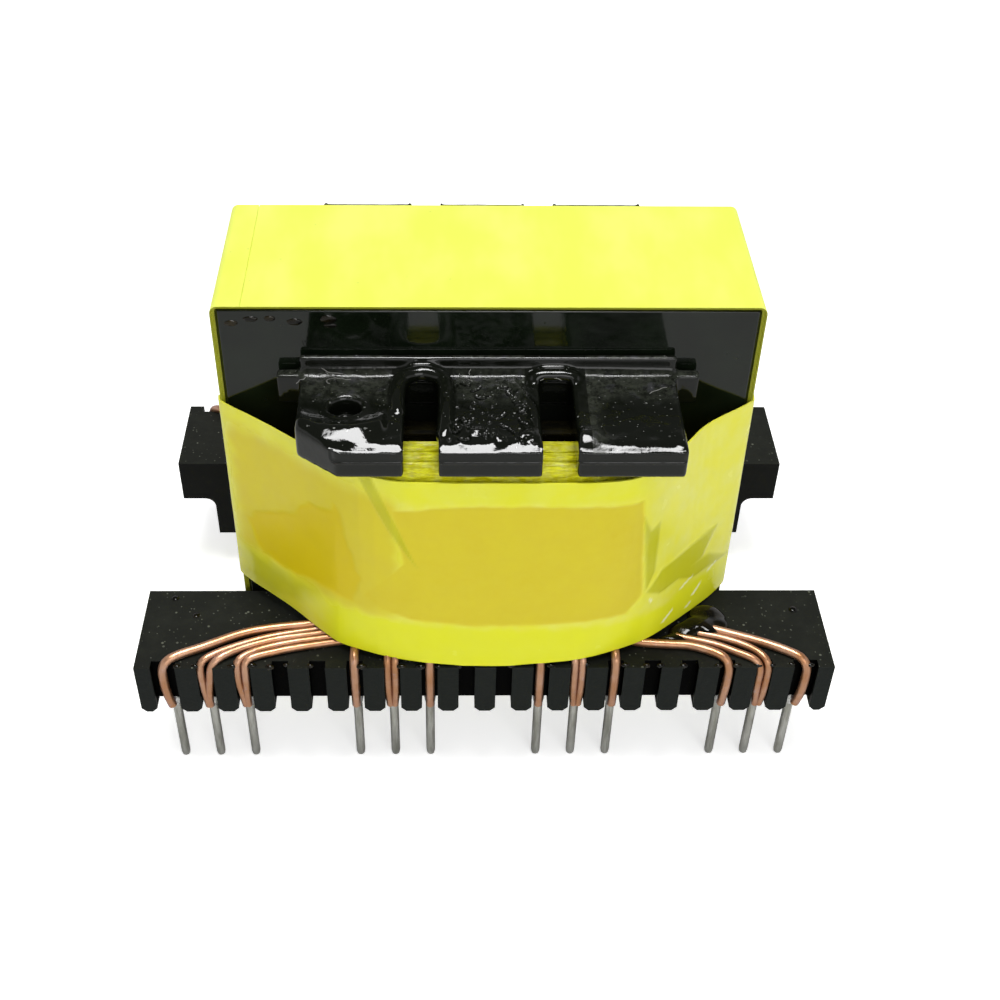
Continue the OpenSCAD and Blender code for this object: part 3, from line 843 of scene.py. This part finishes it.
# Marks on the wrap seen from the front, as (x, z) outlines: where copper lies close under
# it, where varnish sticks it down, its folds, painted glints, and painted shade at the left.
WRAP_TINTS = ("wetted", "stuck", "folded_and_shaded", "lit", "gleam")
COPPER_WINDOW = (
    (-6.1, 21.1), (-1.2, 21.6), (4.3, 21.6), (9.6, 21.3), (9.8, 19.8), (10.3, 12.6), (9.3, 11.3),
    (4.8, 11.3), (-1.1, 11.2), (-4.4, 11.5), (-7.0, 12.1), (-8.2, 13.2), (-5.4, 16.6))
STUCK_PATCH = (
    (-16.3, 14.5), (-12.3, 17.4), (-12.0, 18.4), (-11.4, 18.7), (-10.4, 19.1), (-9.8, 19.9),
    (-9.3, 19.1), (-9.2, 17.2), (-8.3, 14.7), (-8.8, 12.2), (-10.2, 12.2), (-11.5, 12.4),
    (-13.6, 11.4), (-15.3, 11.7))
LEFT_FOLD = ((-8.0, 23.2), (-7.2, 23.5), (-6.1, 20.6), (-4.5, 16.3), (-6.3, 19.4))
STAR_FOLDS = (
    ((9.8, 19.8), (10.4, 18.3), (11.0, 18.7), (11.0, 14.3), (10.5, 12.9)),
    ((10.6, 12.7), (11.6, 14.1), (13.8, 14.1), (14.7, 14.2), (15.9, 14.3), (15.0, 12.2),
     (13.4, 11.9), (11.6, 11.9)),
    ((12.6, 12.3), (15.5, 12.0), (17.2, 10.4), (14.2, 10.9)))
GLEAMS = (
    ((14.4, 9.1), (15.05, 9.75), (15.15, 9.65), (14.6, 9.0)),
    ((12.1, 8.75), (12.9, 9.3), (12.95, 9.15), (12.3, 8.65)),
    ((10.9, 11.9), (11.15, 11.6), (11.1, 11.35), (10.95, 11.6)),
    ((13.3, 10.7), (14.3, 11.1), (14.35, 10.98), (13.5, 10.6)),
    ((14.0, 8.4), (14.4, 8.6), (14.45, 8.45), (14.15, 8.3)),
    ((15.5, 10.3), (16.2, 10.7), (16.2, 10.58), (15.6, 10.2)))
LEFT_SHADE = (
    (-16.6, 11.6), (-15.2, 11.5), (-13.6, 11.2), (-11.4, 11.4), (-12.6, 9.6), (-14.9, 8.6), (-17.0, 8.8))


def along(outline, share):
    """Point that share of the way along a line of points, by its legs' lengths."""
    lengths = [math.dist(a, b) for a, b in zip(outline, outline[1:])]
    target = share * sum(lengths)
    for (a, b), length in zip(zip(outline, outline[1:]), lengths):
        if target <= length:
            t = target / length
            return a[0] + t * (b[0] - a[0]), a[1] + t * (b[1] - a[1])
        target -= length
    return outline[-1]


def along_x(line, x):
    """Height of a line of (x, height) points at x."""
    for (ax, ah), (bx, bh) in zip(line, line[1:]):
        if x <= bx:
            return ah + (bh - ah) * max(0.0, (x - ax) / (bx - ax))
    return line[-1][1]


class TRANSFORMER_OT_winding(bpy.types.Operator):
    """Makes the wet edges of the tape layers, and paints the windings under them near black, partly for
    varnish and partly as painted shade
    """

    bl_idname = "transformer.winding"
    bl_label = "Winding"

    def execute(self, context):
        # Painted shade: the windings down in the slots get a near-black finish, darkened also by varnish.
        soaked_and_shaded = soaked_and_shaded_finish()
        for name in ("primary_winding", "primary_insulation_tape", "secondary_winding", "auxiliary_winding"):
            mesh = NODES[name].data
            mesh.materials.clear()
            mesh.materials.append(soaked_and_shaded)
        bm = bmesh.new()
        layers = 7
        inner, outer = (9.2, 11.2, 3.0), (11.2, 14.1, 6.8)  # half width, half depth, corner radius
        for i in range(layers):
            share = i / (layers - 1)
            outline = rounded_outline(*(a + share * (b - a) for a, b in zip(inner, outer)), 10)
            last = i == layers - 1
            head = WINDING_TOP + (0.32 if last else 0.1 * math.sin(2.6 * i) + 0.02)
            verts = band(bm, divided(outline, 0.5), WINDING_LOW if last else 22.95, head, 0.5)
            for vert in verts:
                if vert.co.z > 23.0 and not last:
                    vert.co.z += 0.14 * noise.noise(vert.co / 1.6 + Vector((i * 3.1, 0, 0)))
                    vert.co.y *= 1 + 0.012 * noise.noise(vert.co / 1.3)
        finish_piece(
            bm, "winding_tape_layers", layer_finish(),
            ["winding_cover_tape", "secondary_insulation_tape"])
        return {"FINISHED"}


class TRANSFORMER_OT_wrap(bpy.types.Operator):
    """Makes the outer wrap: one creased strip of tape round the winding and the legs"""

    bl_idname = "transformer.wrap"
    bl_label = "Outer wrap"

    def execute(self, context):
        rows, front, rear = 95, 300, 130
        columns = front + rear
        wrap_foot, wrap_head = rounded_off(WRAP_FOOT), rounded_off(WRAP_HEAD)
        bm = bmesh.new()
        bmesh.ops.create_grid(bm, x_segments=columns, y_segments=rows, size=0.5)
        paint = [bm.verts.layers.float.new(name) for name in WRAP_TINTS]
        for vert in bm.verts:
            u, v = vert.co.x + 0.5, vert.co.y + 0.5
            place = u * columns
            if place <= front:
                share, side = place / front, 1
            else:
                share, side = 1 - (place - front) / rear, -1
            foot, head = along(wrap_foot, share), along(wrap_head, share)
            x = foot[0] + (head[0] - foot[0]) * v
            y = foot[1] + (head[1] - foot[1]) * v
            z = WRAP_LOW + (WRAP_TOP - WRAP_LOW) * v
            z += along_x(WRAP_FOOT_RISE, x * side) * (1 - v) ** 3
            tints = self.tints(x, z, side)
            push = self.push(x, z, side, tints)
            vert.co = Vector((x * (1 + push * 0.004), (y - push) * side, z))
            for layer, value in zip(paint, tints):
                vert[layer] = value
        bmesh.ops.remove_doubles(bm, verts=bm.verts, dist=0.01)
        bmesh.ops.recalc_face_normals(bm, faces=bm.faces)
        bmesh.ops.solidify(bm, geom=bm.faces[:], thickness=0.1)
        finish_piece(bm, "outer_wrap_strip", wrap_finish(), ["outer_wrap_tape"], angle=60)
        return {"FINISHED"}

    def tints(self, x, z, side):
        """How wetted and stuck the tape is at a point, its folds together with painted shade at the left, its
        painted light where brightly lit, and its painted glints.
        """
        if side < 0:
            x, z = 0.9 * x + 1.1, z + 0.5
        wobble = Vector((x, z, side * 3.0))
        px = x + 0.3 * noise.noise(wobble / 0.9)
        pz = z + 0.3 * noise.noise(wobble / 0.9 + Vector((7, 0, 0)))
        window = inside((x + 0.3 * (px - x), z + 0.3 * (pz - z)), COPPER_WINDOW, 0.15)
        left = 0.92 * ease(-5.2, -6.4, px) * ease(22.9, 21.2, pz) * ease(10.8, 12.4, pz)
        wetted = max(window, left * ease(-17.4, -16.2, px))
        stuck = inside((px, pz), STUCK_PATCH, 0.16)
        # The folds and the painted shade at the lower left share one tint.
        folded_and_shaded = max(
            0.7 * inside((x, z), LEFT_FOLD, 0.1), 0.7 * inside((px, pz), LEFT_SHADE, 0.9),
            0.75 * max(inside((x, z), outline, 0.1) for outline in STAR_FOLDS))
        lit = ease(11.4, 10.7, pz + 0.05 * px) * ease(-12.5, -9.5, px)
        lit = max(lit, 0.6 * ease(21.5, 22.2, pz) * ease(-7.5, -5.5, px) * ease(11.0, 9.0, px))
        gleam = max(inside((x, z), outline, 0.06) for outline in GLEAMS)
        return wetted, stuck, folded_and_shaded, lit * (1 - folded_and_shaded), gleam * (side > 0)

    def push(self, x, z, side, tints):
        """How far the tape stands out at a point."""
        here = Vector((x, side * 5.0, z))
        out = 0.05 * noise.noise(here / 3.2) + 0.02 * noise.noise(here / 1.1)
        return out - (0.07 * tints[0] + 0.05 * tints[1]) + 0.09 * tints[2]


class TRANSFORMER_OT_leads(bpy.types.Operator):
    """Makes the leads: out from under the wrap, over the rail and down into the slots"""

    bl_idname = "transformer.leads"
    bl_label = "Leads"

    def execute(self, context):
        s = context.scene.transformer_leads
        random.seed(s.seed)
        material = copper_finish()
        for side, sign, place in PINS:
            bm = bmesh.new()
            routes = LEAD_ROUTES.get(place) or self.short_routes(place)
            thick = (s.single if len(routes) == 1 else s.paired) / MM
            if side == "front" and place in (17, 18):  # these come out of the pool of varnish
                routes = [route[1:] for route in routes]
            for route in routes:
                shift = 0.0 if side == "front" else random.uniform(-0.06, 0.06)
                points = [(x + shift * min(1, i), y * sign, z) for i, (x, y, z) in enumerate(route)]
                sweep(bm, curve_through(points, 0.25), thick / 2)
            name = "lead_%s_%d" % (side, place)
            finish_piece(bm, name + "_wire", material, [name])
        return {"FINISHED"}

    def short_routes(self, place):
        """One or two leads straight over the rail's edge."""
        x = place_x(place) + random.uniform(-0.08, 0.08)
        shifts = (-0.26, 0.26) if place in (7, 12) else (0.0,)
        return [
            [(x + d, -12.3, 7.6), (x + d, -13.1, 7.62), (x + d, -13.75, 7.6), (x + d, -14.2, 7.4),
             (x + d, -14.36, 6.9), (x + d, -14.38, 5.6), (x + 0.9 * d, -14.34, 4.4),
             (x + 0.6 * d, -14.25, 3.2)]
            for d in shifts]


# The long leads of the front side by place, from under the wrap to the slot.
LEAD_ROUTES = {
    1: [[(-10.9, -10.5, 7.66), (-12.3, -10.85, 7.66), (-14.9, -11.2, 7.63), (-16.9, -11.75, 7.62),
         (-19.3, -12.95, 7.62), (-20.7, -13.6, 7.62), (-21.5, -14.05, 7.5), (-21.9, -14.34, 7.0),
         (-21.98, -14.36, 5.8), (-21.9, -14.33, 4.4), (-21.7, -14.25, 3.2)]],
    2: [[(-10.8, -11.1, 7.56), (-11.9, -11.3, 7.56), (-14.8, -11.95, 7.56), (-17.1, -12.85, 7.56),
         (-18.5, -13.6, 7.56), (-19.2, -14.12, 7.42), (-19.36, -14.37, 6.9), (-19.34, -14.4, 5.6),
         (-19.26, -14.38, 4.4), (-19.15, -14.3, 3.2)],
        [(-10.5, -11.5, 7.6), (-11.5, -11.68, 7.6), (-14.2, -12.2, 7.62), (-16.2, -12.9, 7.64),
         (-17.5, -13.6, 7.66), (-18.2, -14.1, 7.56), (-18.62, -14.42, 7.1), (-18.8, -14.46, 6.0),
         (-18.98, -14.42, 4.6), (-19.05, -14.3, 3.2)]],
    3: [[(-10.0, -11.9, 7.58), (-11.0, -12.05, 7.58), (-13.4, -12.5, 7.56), (-15.2, -13.05, 7.56),
         (-16.3, -13.65, 7.56), (-16.8, -14.15, 7.42), (-16.86, -14.4, 6.9), (-16.86, -14.4, 5.6),
         (-16.72, -14.36, 4.4), (-16.6, -14.25, 3.2)],
        [(-9.5, -12.3, 7.56), (-10.6, -12.5, 7.56), (-13.0, -13.0, 7.58), (-14.8, -13.5, 7.58),
         (-15.9, -13.9, 7.56), (-16.26, -14.22, 7.4), (-16.32, -14.44, 6.9), (-16.36, -14.42, 5.6),
         (-16.4, -14.36, 4.4), (-16.42, -14.25, 3.2)]],
    16: [[(9.6, -12.3, 7.62), (10.8, -12.6, 7.62), (12.4, -12.75, 7.62), (14.1, -12.9, 7.62),
          (15.5, -13.45, 7.62), (16.3, -13.98, 7.55), (16.62, -14.34, 7.0), (16.66, -14.36, 5.6),
          (16.6, -14.33, 4.4), (16.55, -14.2, 3.2)]],
    17: [[(11.4, -11.2, 7.56), (13.2, -11.95, 7.56), (15.6, -12.65, 7.56), (17.2, -13.45, 7.56),
          (18.3, -14.05, 7.5), (18.76, -14.38, 7.0), (18.8, -14.42, 5.6), (18.82, -14.38, 4.4),
          (18.95, -14.25, 3.2)],
         [(11.9, -10.6, 7.56), (14.0, -11.5, 7.56), (16.3, -12.1, 7.56), (18.0, -12.9, 7.56),
          (18.95, -13.75, 7.52), (19.32, -14.32, 7.1), (19.34, -14.42, 5.8), (19.3, -14.38, 4.4),
          (19.2, -14.25, 3.2)]],
    18: [[(12.6, -9.9, 7.62), (14.4, -10.85, 7.62), (16.3, -11.5, 7.62), (18.9, -12.5, 7.62),
          (20.6, -13.35, 7.62), (21.55, -13.95, 7.52), (21.95, -14.33, 7.0), (22.02, -14.36, 5.8),
          (21.95, -14.33, 4.4), (21.75, -14.2, 3.2)]],
}


class TRANSFORMER_OT_pins(bpy.types.Operator):
    """Makes the pins, with blunt tips, and the solder round their roots"""

    bl_idname = "transformer.pins"
    bl_label = "Pins and solder"

    def execute(self, context):
        s = context.scene.transformer_leads
        material = pin_finish()
        radius = s.pin / MM / 2
        for side, _, place in PINS:
            name = "pin_%s_%d" % (side, place)
            low, high = box_mm(name)
            bm = bmesh.new()
            self.turned(bm, name, 16, (
                (0, low.z), (0.55 * radius, low.z), (0.86 * radius, low.z + 0.12),
                (radius, low.z + 0.42), (radius, 0.0), (radius, 2.4), (0.9 * radius, 2.6),
                (0.9 * radius, high.z), (0, high.z)))
            finish_piece(bm, name + "_wire", material, [name])
        low, high = box_mm("solder_joints")
        bm = bmesh.new()
        for side, _, place in PINS:
            self.turned(bm, "pin_%s_%d" % (side, place), 12, (
                (radius * 0.98, low.z), (radius + 0.03, low.z + 0.1), (radius + 0.09, low.z + 0.5),
                (radius + 0.11, high.z - 0.1), (radius + 0.06, high.z), (radius * 0.9, high.z)))
        finish_piece(bm, "solder_fillets", solder_finish(), ["solder_joints"])
        return {"FINISHED"}

    def turned(self, bm, pin, sides, profile):
        """Adds a shape turned on the pin's axis from (radius, height) points."""
        x, y, _ = sum(box_mm(pin), Vector()) / 2
        verts = [bm.verts.new((x + r, y, z)) for r, z in profile]
        edges = [bm.edges.new(pair) for pair in zip(verts, verts[1:])]
        bmesh.ops.spin(
            bm, geom=verts + edges, cent=(x, y, 0), axis=(0, 0, 1), angle=2 * math.pi, steps=sides,
            use_merge=True, use_duplicate=False)
        bmesh.ops.remove_doubles(bm, verts=bm.verts, dist=0.0005)


class TRANSFORMER_OT_varnish(bpy.types.Operator):
    """Makes the set pools, drops and runs of varnish"""

    bl_idname = "transformer.varnish"
    bl_label = "Varnish"

    def execute(self, context):
        material = pool_finish()
        bm = bmesh.new()
        lumps = (
            (15.6, -9.9, 1.5, 1.2, 0.7), (14.9, -11.0, 1.4, 0.9, 0.95), (14.0, -11.4, 1.3, 0.8, 0.85),
            (13.0, -12.2, 1.3, 0.5, 0.7), (16.2, -10.8, 0.9, 0.8, 0.7), (15.6, -11.6, 0.9, 0.6, 0.8))
        for x, y, *radii in lumps:
            self.drop(bm, (x, y, RAIL_TOP - 0.06), radii, 3)
        bm = melted(bm, 0.13, 12)
        spots = (
            (-21.9, -7.9, 0.3), (-20.2, -9.6, 0.28), (21.9, -9.1, 0.34), (-17.5, 8.6, 0.3),
            (19.4, 10.2, 0.35))
        for x, y, r in spots:
            self.drop(bm, (x, y, RAIL_TOP - 0.02), (r, r, 0.45 * r), 2)
        finish_piece(bm, "varnish_pools", material, angle=180)
        self.glints(material)
        bm = bmesh.new()
        drops = (
            (-15.9, 29.45, 0.42, 0.2), (-14.7, 29.75, 0.45, 0.2), (-13.5, 29.8, 0.35, 0.2),
            (-12.0, 29.55, 0.5, 0.24), (-9.9, 29.75, 0.5, 0.3), (-9.8, 29.3, 0.4, 0.18))
        for x, z, wide, tall in drops:
            self.drop(bm, (x, CORE_LOW.y, z), (wide, 0.1, tall), 3)
        finish_piece(bm, "varnish_drops", material, angle=180)
        return {"FINISHED"}

    def glints(self, material):
        """Small beads of varnish on the top corners of the teeth."""
        random.seed(5)
        bm = bmesh.new()
        for slot in range(20):
            for x in (place_x(slot) - 0.56, place_x(slot) + 0.56):
                for sign in (1, -1):
                    if random.random() < 0.7 and abs(x) < 23.0:
                        r = random.uniform(0.14, 0.26)
                        x_off, y = random.uniform(-0.15, 0.15), -sign * random.uniform(14.3, 14.5)
                        self.drop(bm, (x + x_off, y, RAIL_TOP - 0.04), (r * 1.5, r * 0.8, r * 0.8), 2)
        finish_piece(bm, "varnish_beads", material, angle=180)

    def drop(self, bm, centre, radii, detail):
        """Adds a lump of varnish, dented a little."""
        made = bmesh.ops.create_icosphere(bm, subdivisions=detail, radius=1)["verts"]
        for vert in made:
            dent = 1 + 0.16 * noise.noise(vert.co * 1.3 + Vector(centre))
            vert.co = Vector(centre) + Vector(c * r * dent for c, r in zip(vert.co, radii))


# ---- stage ----


class TRANSFORMER_OT_stage(bpy.types.Operator):
    """Sets up the floor, the lamps, the surroundings and the camera"""

    bl_idname = "transformer.stage"
    bl_label = "Stage"

    def execute(self, context):
        s = context.scene.transformer_stage
        scene = context.scene
        scene.view_settings.view_transform = "Standard"
        self.floor()
        self.surroundings(scene, s)
        self.lamp("overhead", (-0.01, -0.01, 0.42), (0, 0, 0), (0.16, 0.12), s.lamp)
        card = self.lamp("card", (-0.01, -0.01, 0.415), (0, 0, 0), (0.2, 0.13), 2 * s.lamp)
        card.visible_diffuse = False
        self.lamp("window", (0.12, -0.45, 0.25), (0, 0, 0.01), (0.35, 0.25), s.lamp)
        self.camera(scene)
        return {"FINISHED"}

    def floor(self):
        bm = bmesh.new()
        bmesh.ops.create_grid(bm, x_segments=1, y_segments=1, size=1.2)
        bmesh.ops.translate(bm, verts=bm.verts, vec=(0, 0, (PIN_TIP - 0.02) * MM))
        f = Finish("floor_pale")
        paper = f.node("BsdfDiffuse", {}, {"Color": (0.9, 0.9, 0.9)})
        camera, glossy, through = f.rays()
        glow = f.node("Emission", {}, {"Strength": camera * 0.6 + glossy * 0.1 + through * 0.1})
        material = f.end(f.node("AddShader", {}, {0: paper, 1: glow}))
        set_down(bm, "floor", material)

    def surroundings(self, scene, s):
        """White all round the horizon and dim overhead, with an even light on the object."""
        f = Finish("surroundings", "worlds")
        camera, glossy, through = f.rays()
        direct = camera.maths("MAXIMUM", camera.maths("MAXIMUM", camera, glossy), through)
        height = f.part(f.node("TexCoord", output="Generated"), 2)
        shown = 1 - height.between(0.42, 0.62) * 0.85
        strength = direct * shown + (1 - direct) * s.sky
        light = f.node("Background", {}, {"Color": (1, 1, 1), "Strength": strength})
        scene.world = f.end(light, "OutputWorld")

    def lamp(self, name, place, target, size, power):
        data = bpy.data.lights.new(name, "AREA")
        data.shape = "RECTANGLE"
        data.size, data.size_y = size
        data.energy = power
        lamp = in_scene(name, data)
        lamp.location = place
        lamp.rotation_mode = "QUATERNION"
        lamp.rotation_quaternion = (Vector(target) - Vector(place)).to_track_quat("-Z", "Y")
        return lamp

    def camera(self, scene):
        """Camera at the height, distance and slight turn that the object is seen from."""
        place = Vector((-2.55, -80.41, 78.98)) * MM
        pitch, yaw, roll = (math.radians(a) for a in (41.943, 1.404, 0.912))
        flat = math.cos(pitch)
        forward = Vector((math.sin(yaw) * flat, math.cos(yaw) * flat, -math.sin(pitch)))
        right = Vector((math.cos(yaw), -math.sin(yaw), 0))
        up = right.cross(forward)
        right, up = (
            math.cos(roll) * right + math.sin(roll) * up,
            math.cos(roll) * up - math.sin(roll) * right)
        data = bpy.data.cameras.new("camera")
        data.lens = 51.46
        data.sensor_width = 36
        data.shift_x, data.shift_y = 0.026, 0.030
        data.clip_start, data.clip_end = 0.005, 20
        camera = in_scene("camera", data)
        turn = Matrix((right, up, -forward)).transposed().to_4x4()
        camera.matrix_world = Matrix.Translation(place) @ turn
        scene.camera = camera


class TRANSFORMER_PT_panel(bpy.types.Panel):
    """Lists what makes each group of pieces"""

    bl_idname = "TRANSFORMER_PT_panel"
    bl_label = "Transformer"
    bl_space_type = "VIEW_3D"
    bl_region_type = "UI"
    bl_category = "Transformer"

    def draw(self, context):
        for operator in OPERATORS:
            self.layout.operator(operator.bl_idname)
        for name, group in SETTINGS:
            settings = getattr(context.scene, name)
            for key in group.__annotations__:
                self.layout.prop(settings, key)


OPERATORS = (
    TRANSFORMER_OT_bobbin,
    TRANSFORMER_OT_core,
    TRANSFORMER_OT_binding,
    TRANSFORMER_OT_winding,
    TRANSFORMER_OT_wrap,
    TRANSFORMER_OT_pins,
    TRANSFORMER_OT_leads,
    TRANSFORMER_OT_varnish,
    TRANSFORMER_OT_stage,
)


def register():
    for name, group in SETTINGS:
        bpy.utils.register_class(group)
        setattr(bpy.types.Scene, name, PointerProperty(type=group))
    for operator in OPERATORS:
        bpy.utils.register_class(operator)
    bpy.utils.register_class(TRANSFORMER_PT_panel)


def unregister():
    bpy.utils.unregister_class(TRANSFORMER_PT_panel)
    for operator in reversed(OPERATORS):
        bpy.utils.unregister_class(operator)
    for name, group in reversed(SETTINGS):
        delattr(bpy.types.Scene, name)
        bpy.utils.unregister_class(group)


def main():
    """Makes every piece in order."""
    register()
    bpy.ops.transformer.bobbin()
    bpy.ops.transformer.core()
    bpy.ops.transformer.binding()
    bpy.ops.transformer.winding()
    bpy.ops.transformer.wrap()
    bpy.ops.transformer.pins()
    bpy.ops.transformer.leads()
    bpy.ops.transformer.varnish()
    bpy.ops.transformer.stage()


if __name__ == "__main__":
    main()
